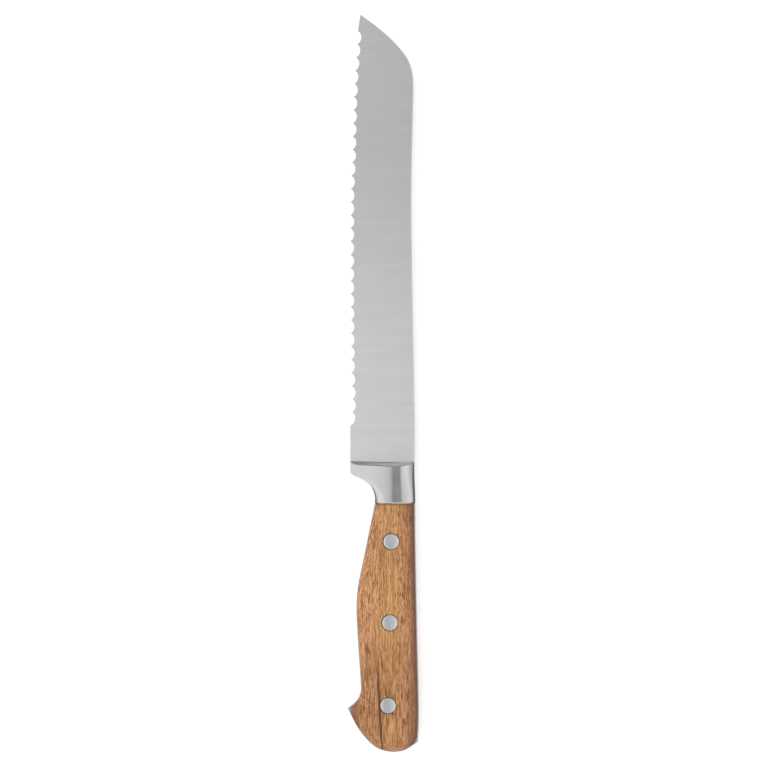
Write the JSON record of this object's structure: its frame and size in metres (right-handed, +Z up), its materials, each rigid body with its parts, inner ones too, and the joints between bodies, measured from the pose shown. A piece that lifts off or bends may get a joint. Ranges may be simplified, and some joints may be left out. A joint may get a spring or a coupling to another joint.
{
  "type": "bread knife",
  "caption": "Bread knife with a scalloped blade, full tang, steel bolster and riveted wooden handle scales that end in a beak",
  "frame": {"origin": "under the middle of the bounding box, on the surface the knife lies on", "axes": "the knife lies on its side: +X from cutting edge to spine, +Y from butt to tip, +Z up through its thickness"},
  "size_m": [0.032, 0.33, 0.017],
  "materials": {
    "blade_steel": "satin, brushed across the blade",
    "bolster_steel": "polished",
    "acacia": "oiled, open grain along the handle",
    "rivet_metal": "ground flush, satin"
  },
  "bodies": {
    "root": {"blade_tang": "blade_steel", "bolster_left": "bolster_steel", "bolster_right": "bolster_steel", "scale_left": "acacia", "scale_right": "acacia", "front_rivet_post": "rivet_metal", "front_rivet_socket": "rivet_metal", "middle_rivet_post": "rivet_metal", "middle_rivet_socket": "rivet_metal", "rear_rivet_post": "rivet_metal", "rear_rivet_socket": "rivet_metal"}
  },
  "joints": []
}
